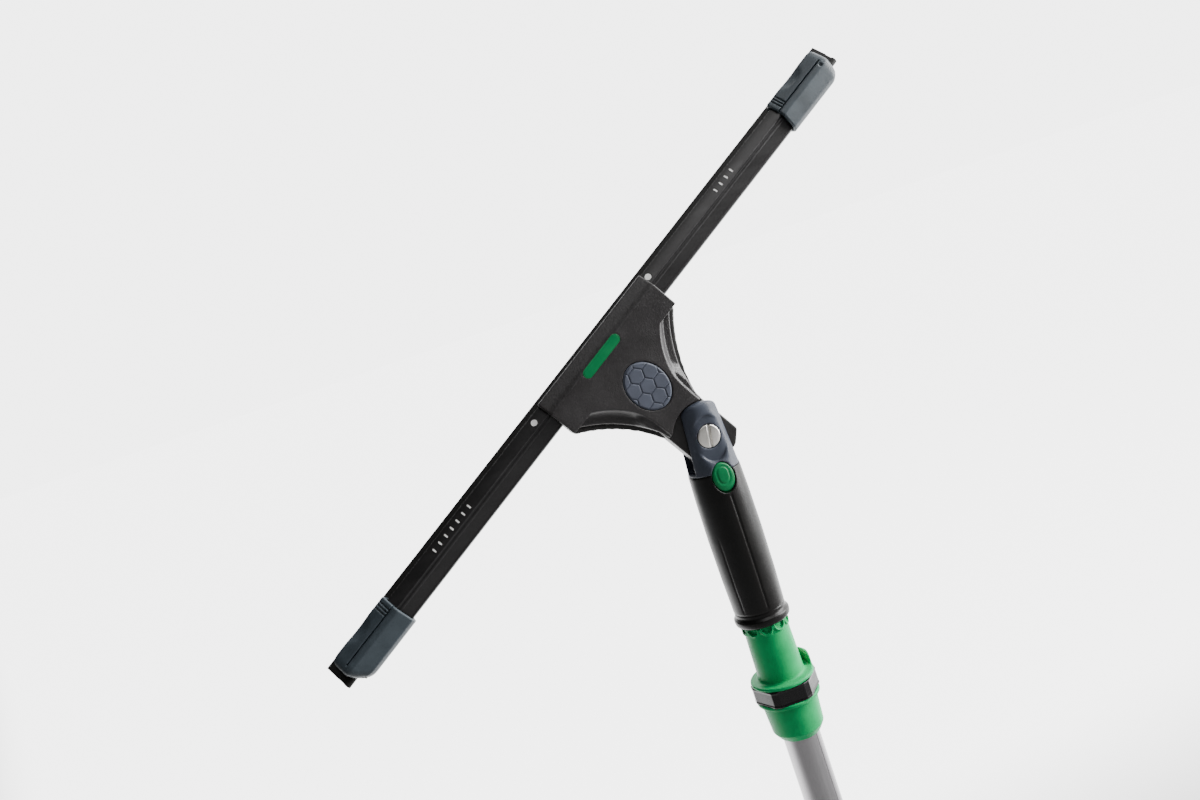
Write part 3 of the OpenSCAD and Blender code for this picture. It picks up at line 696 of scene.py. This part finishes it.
def make_jaw():
    """The front jaw: a flat lip, a slope inside it and the raised face, with the nose over the rubber."""
    g = Space((-46.6, -10.3, 16.5), (46.6, 2.1, 87.8), 0.46)
    w, y, v = g.x, g.y, g.z
    a = np.abs(w)
    lip, face = outline(LIP, w, v), outline(FACE, w, v)
    foot = lip + 3.6 * smooth(20, 42, v)
    t = np.where(face <= 0, 1, np.clip(-foot / np.maximum(face - foot, 0.01), 0, 1))
    front = -5.2 - 5.0 * smooth(0.1, 0.85, t)
    over_tongue = smooth(46, 34, v) * smooth(22, 16.4, a)
    front = front + over_tongue * (np.minimum(front, -9) - front)
    body = rounded([lip, (front - y) * 0.85, y + 3.2, v - 69, NECK_V - v], 0.9)
    hollow = np.maximum(np.maximum(lip + 2.4, front + 2.3 - y), np.maximum(24 - v, v - 62))
    body = carve(body, hollow, 0.6)
    section = fillet([(62, -10.2), (78.8, -10.2), (81.4, -8.1), (87.6, -4.4), (86.9, -1.8), (79.4, -5.95),
                      (69.6, -3.85), (68.2, -3.6), (66.4, -3.6), (66.4, -7.8), (62, -7.8)],
                     [0, 1.5, 1.5, 1, 0.5, 0.5, 0.5, 0.5, 0.5, 0.5, 0])
    body = np.minimum(body, rounded([polygon(section, v, y), a - 46.5], 0.8))
    body = np.minimum(body, block(a, y, v, (12, -9, HINGE_V - 3), (16, 2, HINGE_V + 3), 0.6))
    body = carve(body, np.hypot(w, v) - HUB_R, 0.6)
    body = np.maximum(body, -np.maximum(a - 15.9, np.maximum(-8.2 - y, v - 33)))
    body = np.maximum(body, 1.31 - np.hypot(y - HINGE_Y, v - HINGE_V))
    body = carve(body, np.maximum(pad_distance(w, v) - 0.25, y + 9), 0.35)
    body = carve(body, np.maximum(badge_distance(w, v) - 0.15, y + 9.7), 0.3)
    s, m = blade_section(y, v)
    body = np.maximum(body, -rounded([2.4 - s, s - 7.8, 7.9 - m, m - 8.95, a - STRIP_HALF - 0.2], 0.1))
    soft_piece("jaw_shell", g, body, IN_HEAD, "jaw", "black_plastic", HEAD_PLASTIC, "jaw_plate")

    g = Space((-12.3, -10.65, PAD_V - 15.6), (12.3, -9, PAD_V + 15.6), 0.26)
    w, y, v = g.x, g.y, g.z
    pitch = 8.6
    row = pitch * math.sqrt(3)
    cells = []
    for shift in (0, 0.5):
        dw = w / row + shift
        dv = (v - PAD_V) / pitch + shift
        dw, dv = (dw - np.round(dw)) * row, (dv - np.round(dv)) * pitch
        cells.append(np.maximum(np.abs(dv), np.abs(dv) * 0.5 + np.abs(dw) * 0.866))
    cell = np.minimum(*cells)
    edge = pad_distance(w, v)
    crease = np.minimum(pitch / 2 - cell, np.maximum(-edge - 0.3, 0))
    top = -10.1 - 0.5 * smooth(0.08, 0.5, crease)
    pad = rounded([edge, top - y, y + 9], 0.25)
    soft_piece("pad_cells", g, pad, IN_HEAD, "jaw", "slate_rubber", PAD_RUBBER, "thumb_pad")

    g = Space((-18.6, -10.4, BADGE_V - 3.1), (11.6, -9.7, BADGE_V + 3.1), 0.24)
    w, y, v = g.x, g.y, g.z
    edge = badge_distance(w, v)
    border = smooth(-0.9, -0.6, edge) * smooth(-0.3, -0.6, edge)
    bar = rounded([edge, -10.35 + 0.18 * border - y, y + 9.7], 0.15)
    soft_piece("plain_badge", g, bar, IN_HEAD, "jaw", "green_plastic", BUTTON_PLASTIC, "label_plate")

    vertices, faces = toothed_strip(STRIP_HALF, 2.6, 7.6, 8.85, 8.05, -0.3)
    strip = add_piece("jaw_grip_strip", vertices, faces, HEAD_BLADE, "jaw", "steel", STEEL, "jaw_teeth")
    sharp(strip, 20)


def make_frame():
    """The head's back half: ribbed skirt, pocketed back, the tongue in the fork and the hinge's lugs."""
    g = Space((-46.1, -6.3, -18), (46.1, 9.5, 77.6), 0.52)
    w, y, v = g.x, g.y, g.z
    a = np.abs(w)
    skirt = outline(SKIRT, w, v)
    ribbed = smooth(19, 23, a) * smooth(44.5, 42, a)
    skirt = skirt + 0.45 * ribbed * (0.5 + 0.5 * np.cos(2 * math.pi * w / 3.6)) * smooth(-1.8, -1.2, y)
    body = rounded([skirt, y - 7.6, -2.4 - y, v - 68, NECK_V - v], 1.3)
    body = carve(body, np.maximum(np.maximum(skirt + 3.6, y - 4.1), np.maximum(31 - v, v - 66)), 0.5)
    body = np.maximum(body, -np.maximum(66 - v, y - 4))
    section = fillet([(60, 4), (66.6, 4), (68.2, 1.4), (77.4, 6.71), (76.3, 9.4), (60, 7.6)],
                     [0, 0.5, 0.5, 0.6, 0.9, 0])
    body = np.minimum(body, rounded([polygon(section, v, y), a - 45.5], 0.9))
    pocket = np.maximum(outline(SKIRT, w, v) + 4.6, np.maximum(26 - v, v - 58.5))
    pocket = common(pocket, 2.2 - a, 1.5)
    pocket = np.maximum(pocket, 6.2 - y)
    ribs = np.abs(np.mod(w + 6, 12) - 6) - 0.7
    body = carve(body, np.maximum(pocket, -ribs), 0.8)
    body = np.minimum(body, block(a, y, v, (19, -3.4, HINGE_V - 3), (23, 4.6, HINGE_V + 3), 0.6))
    body = carve(body, np.hypot(w, v) - HUB_R, 0.8)
    slope = y + 0.6 + 1.9 * (v - 10) / 38.8
    body = np.maximum(body, -np.maximum(slope, v - 48.8) + 0 * w)
    tongue = rounded([a - 15.2, np.abs(y) - 6.2, v - 32, -17.9 - v, (a * 0.572 - v * 0.820) - 19.03], 0.9)
    body = np.minimum(body, tongue)
    spring = np.hypot(w, v - SPRING_V)
    body = np.minimum(body, np.maximum(spring - 5.5, np.maximum(-1 - y, y - 4.2)))
    body = np.minimum(body, rounded([spring - 2.8, -3 - y, y + 0.9], 0.4))
    body = np.maximum(body, 4.06 - np.hypot(w, v))
    body = np.maximum(body, -np.maximum(np.hypot(y - HINGE_Y, v - HINGE_V) - 1.27, a - 25))
    s, m = blade_section(y, v)
    seat = np.maximum(np.maximum(-2.2 - s, s - 3.2), np.maximum(-4.65 - m, a - STRIP_HALF - 0.2))
    body = np.maximum(body, -seat)
    soft_piece("frame_shell", g, body, IN_HEAD, "head", "black_plastic", FRAME_PLASTIC, "head_frame")

    vertices, faces = toothed_strip(STRIP_HALF, -2, 3, -4.6, -3.8, 0.3)
    strip = add_piece("frame_grip_strip", vertices, faces, HEAD_BLADE, "head", "steel", STEEL, "frame_teeth")
    sharp(strip, 20)
    rivet = [(0.01, -6.3), (0.9, -6.25), (1.2, -6.0), (1.2, -4.0), (0.9, -3.85), (0.01, -3.85)]
    points, polygons = turned(rivet, 24)
    vertices, faces = merged([(points, polygons, (w, 0.6, 0)) for w in (-30, 0, 30)])
    add_piece("strip_rivets", vertices, faces, HEAD_BLADE, "head", "steel", STEEL, "teeth_rivets")
    pin = fillet([(0.01, -23), (1.25, -23), (1.25, 23), (0.01, 23)], [0, 0.4, 0.4, 0])
    vertices, faces = turned(pin, 32)
    place = IN_HEAD @ Matrix.Translation((0, HINGE_Y, HINGE_V)) @ ALONG_X
    sharp(add_piece("hinge_pin", vertices, faces, place, "head", "steel", STEEL, "jaw_pin"), 40)


# ---------------------------------------------------------------- channel and clips, in the blade's frame

CHANNEL_HALF = 215.5
RUBBER_HALF = 225
CLIP_END = 219.5
CLIP_INNER = CLIP_END - 44
GROOVE_R = 2.2
MOUTH_HALF = 1.25
FACE_M = 7.74


def circle(s, m, r, sides=24):
    return [(s + r * math.cos(2 * math.pi * i / sides), m + r * math.sin(2 * math.pi * i / sides))
            for i in range(sides)]


def make_channel():
    start = math.asin(MOUTH_HALF / GROOVE_R)
    groove = [(GROOVE_R * math.cos(t), GROOVE_R * math.sin(t)) for t in
              (start + (2 * math.pi - 2 * start) * i / 24 for i in range(25))]
    upper = fillet([(1.4, 7.75), (9.3, 7.75), (9.3, 6.45), (3.4, 6.45), (5, 3), (5, MOUTH_HALF)],
                   [0.7, 0.35, 0.35, 0.4, 0.5, 0.15])
    lower = fillet([(5, -MOUTH_HALF), (5, -3.6), (-3.4, -3.6), (-6.2, -1), (-6, 1.1)],
                   [0.15, 0.5, 0.6, 0.9, 0.7])
    profile = upper[2:] + groove + lower + upper[:2]
    stations = [-CHANNEL_HALF, *np.linspace(-CHANNEL_HALF + 0.5, CHANNEL_HALF - 0.5, 41), CHANNEL_HALF]
    extrusion("channel_profile", profile, [circle(1.2, 4.7, 1.5)], stations, IN_BLADE, "channel",
              "black_aluminium", ANODISED, "channel")
    section = ([(2.1 * math.cos(t), 2.1 * math.sin(t)) for t in
                (math.radians(34) + math.radians(292) * i / 24 for i in range(25))]
               + fillet([(5.3, -1.15), (5.5, -1.6), (14.9, -1), (14.9, 1), (5.5, 1.6), (5.3, 1.15)],
                        [0.1, 0.25, 0.12, 0.12, 0.25, 0.1]))
    stations = list(np.linspace(-RUBBER_HALF, RUBBER_HALF, 46))
    extrusion("rubber_strip", section, [], stations, IN_BLADE, "channel", "blade_rubber", BLADE_RUBBER,
              "rubber_blade")
    dot = turned([(0.01, 0), (1.9, 0), (1.9, 0.05), (0.01, 0.05)], 32)
    parts = [(*dot, (w, 5.3, FACE_M)) for w in (-51.7, 52.6)]
    bar = [(0, 0, 0), (0.9, 0, 0), (0.9, 2.6, 0), (0, 2.6, 0)]
    bar += [(p[0], p[1], 0.05) for p in bar]
    sides = [(0, 1, 2, 3), (4, 5, 6, 7), (0, 1, 5, 4), (1, 2, 6, 5), (2, 3, 7, 6), (3, 0, 4, 7)]
    for first, spacing, count in ((-110, -5, 7), (116, 5, 4)):
        parts += [(bar, sides, (first + spacing * k, 4, FACE_M)) for k in range(count)]
    vertices, faces = merged(parts)
    sharp(add_piece("plain_marks", vertices, faces, IN_BLADE, "channel", "black_aluminium", WHITE_PRINT), 30)


def make_clip(side, body_name):
    """An end clip: u runs outwards from the middle of the channel, s and m across it."""
    ends = sorted((side * CLIP_INNER, side * CLIP_END))
    g = Space((ends[0], -8.2, -5.7), (ends[1], 12.4, 10.5), 0.4)
    u, s, m = side * g.x, g.y, g.z
    hull = fillet([(-8.1, 0.4), (-7.6, 3), (-0.3, 9.9), (2, 10.4), (12, 9.6), (12.3, 9), (12.3, 1.9),
                   (7, -1.9), (7, -5.6), (-4.4, -5.6), (-8, -2.4)],
                  [1.5, 1.5, 2, 2, 1, 0.6, 0.8, 0.4, 0.9, 1.5, 2])
    outer = polygon(hull, s, m) + 1.1 * smooth(212, 220, u) ** 2
    body = rounded([outer, u - CLIP_END], 2.6)
    body = rounded([body, CLIP_INNER - u], 0.8)
    cut = 1.5 if side < 0 else 5.5
    body = common(body, (u - CLIP_END - s - cut) * 0.707 + 0 * m, 3)
    room = polygon([(1.28, 8.05), (9.6, 8.05), (9.6, 6.15), (3.7, 6.15), (5.3, 3), (5.3, -3.9),
                    (-3.52, -3.9), (-6.5, -1.12), (-6.3, 1.19)], s, m)
    body = np.maximum(body, -np.maximum(room, u - CLIP_END + 3.6))
    rubber = np.minimum(np.hypot(s, m) - 2.4, np.maximum(np.abs(m) - 1.9, -s))
    body = np.maximum(body, -rubber + 0 * u)
    grip_area = np.maximum(4.2 - s, u - CLIP_END + 5)
    slit = np.maximum(np.abs(s - 3.55 - 0.12 * (m - 8.9)) - 0.42, np.maximum(8.4 - m, u - CLIP_END + 4.4))
    body = carve(body, slit, 0.35)
    scoop = (np.sqrt(((u - 197) / 11) ** 2 + ((s - 12.6) / 6.5) ** 2 + ((m - 11.4) / 3) ** 2) - 1) * 3
    body = carve(body, scoop, 0.5)
    for place in (178.6, 180.5, 182.4):
        groove = np.maximum(np.abs(u - place) - 0.35, 9.1 - m)
        body = carve(body, np.maximum(groove, grip_area), 0.3)
    if side > 0:
        body = carve(body, np.sqrt((u - 213) ** 2 + (s - 1) ** 2 + (m - 10.6) ** 2) - 1.3, 0.3)
    soft_piece(body_name + "_shell", g, body, IN_BLADE, body_name, "clip_plastic", CLIP_PLASTIC,
               "end_clip_left" if side < 0 else "end_clip_right")


# ---------------------------------------------------------------- camera, lights and floor

WORLD_BRIGHT = 4.6
WORLD_DARK = 0.06
FLOOR_GLOW = 4.4
FLOOR_REACH = 30
LIGHTS_AIM = (-0.03, 0, PIVOT_Z + 0.02)


def make_camera():
    """A wide lens close to the object, turned to its side, tipped down and rolled."""
    turn, dip, roll = math.radians(-11.81), math.radians(6.79), math.radians(-18.93)
    distance, aim = 0.5637, Vector((-0.05053, 0, PIVOT_Z + 0.03961))
    ahead = Vector((-math.sin(turn) * math.cos(dip), math.cos(turn) * math.cos(dip), -math.sin(dip)))
    side = Vector((math.cos(turn), math.sin(turn), 0))
    above = side.cross(ahead)
    right = math.cos(roll) * side + math.sin(roll) * above
    up = -math.sin(roll) * side + math.cos(roll) * above
    camera = bpy.data.objects.new("camera", bpy.data.cameras.new("camera"))
    camera.data.sensor_width = 36
    camera.data.lens = 30
    camera.data.clip_start, camera.data.clip_end = 0.01, 60
    camera.matrix_world = Matrix.Translation(aim - ahead * distance) @ Matrix(
        (right, up, -ahead)).transposed().to_4x4()
    bpy.context.scene.collection.objects.link(camera)
    bpy.context.scene.camera = camera


def area_light(name, place, size, power):
    light = bpy.data.lights.new(name, "AREA")
    light.shape = "RECTANGLE"
    light.size, light.size_y = size
    light.energy = power
    lamp = bpy.data.objects.new(name, light)
    lamp.location = place
    lamp.rotation_euler = (Vector(LIGHTS_AIM) - Vector(place)).to_track_quat("-Z", "Y").to_euler()
    bpy.context.scene.collection.objects.link(lamp)


def along(tree, direction, output):
    """How far a texture coordinate reaches in a direction."""
    place = tree.nodes.new("ShaderNodeTexCoord")
    dot = tree.nodes.new("ShaderNodeVectorMath")
    dot.operation = "DOT_PRODUCT"
    dot.inputs[1].default_value = direction
    tree.links.new(place.outputs[output], dot.inputs[0])
    return dot.outputs["Value"]


def make_world():
    """White behind and to the right of the object, dark in front of it and to the left."""
    world = bpy.data.worlds.new("studio")
    world.use_nodes = True
    tree = world.node_tree
    background = tree.nodes["Background"]
    background.inputs["Color"].default_value = (1, 1, 1, 1)
    backward = along(tree, (0.8, 0.6, 0), "Generated")
    strength = mapped(tree, backward, 0.1, 0.32, WORLD_DARK, WORLD_BRIGHT, "SMOOTHSTEP")
    tree.links.new(strength, background.inputs["Strength"])
    bpy.context.scene.world = world


def make_floor():
    """A pale floor that glows behind the object, but not in front of it or far to its left."""
    mesh = bpy.data.meshes.new("floor")
    turns = ((-1, -1), (1, -1), (1, 1), (-1, 1))
    corners = [(side * FLOOR_REACH, end * FLOOR_REACH, 0) for side, end in turns]
    mesh.from_pydata(corners, [], [(0, 1, 2, 3)])
    floor = bpy.data.objects.new("floor", mesh)
    bpy.context.scene.collection.objects.link(floor)
    mat = bpy.data.materials.new("floor_white")
    mat.use_nodes = True
    tree = mat.node_tree
    shader = tree.nodes["Principled BSDF"]
    shader.inputs["Base Color"].default_value = (0.22, 0.22, 0.22, 1)
    shader.inputs["Roughness"].default_value = 1.0
    shader.inputs["Specular IOR Level"].default_value = 0.0
    shader.inputs["Emission Color"].default_value = (1, 1, 1, 1)
    behind = mapped(tree, along(tree, (0, 1, 0), "Object"), -0.12, 0.25, 0.04, FLOOR_GLOW, "SMOOTHSTEP")
    rightward = mapped(tree, along(tree, (0.94, 0.35, 0), "Object"), -0.6, -0.4, 0.02, 1, "SMOOTHSTEP")
    product = tree.nodes.new("ShaderNodeMath")
    product.operation = "MULTIPLY"
    tree.links.new(behind, product.inputs[0])
    tree.links.new(rightward, product.inputs[1])
    tree.links.new(product.outputs[0], shader.inputs["Emission Strength"])
    mesh.materials.append(mat)


make_core()
make_grip()
make_button()
make_pivot()
make_springs()
make_cone()
make_jaw()
make_frame()
make_channel()
make_clip(-1, "clip_left")
make_clip(1, "clip_right")
make_camera()
make_world()
area_light("key_right", (1.25, -0.3, 0.75), (0.6, 1.4), 62)
area_light("front_top", (0.1, -1.0, 1.6), (0.9, 0.7), 9)
make_floor()
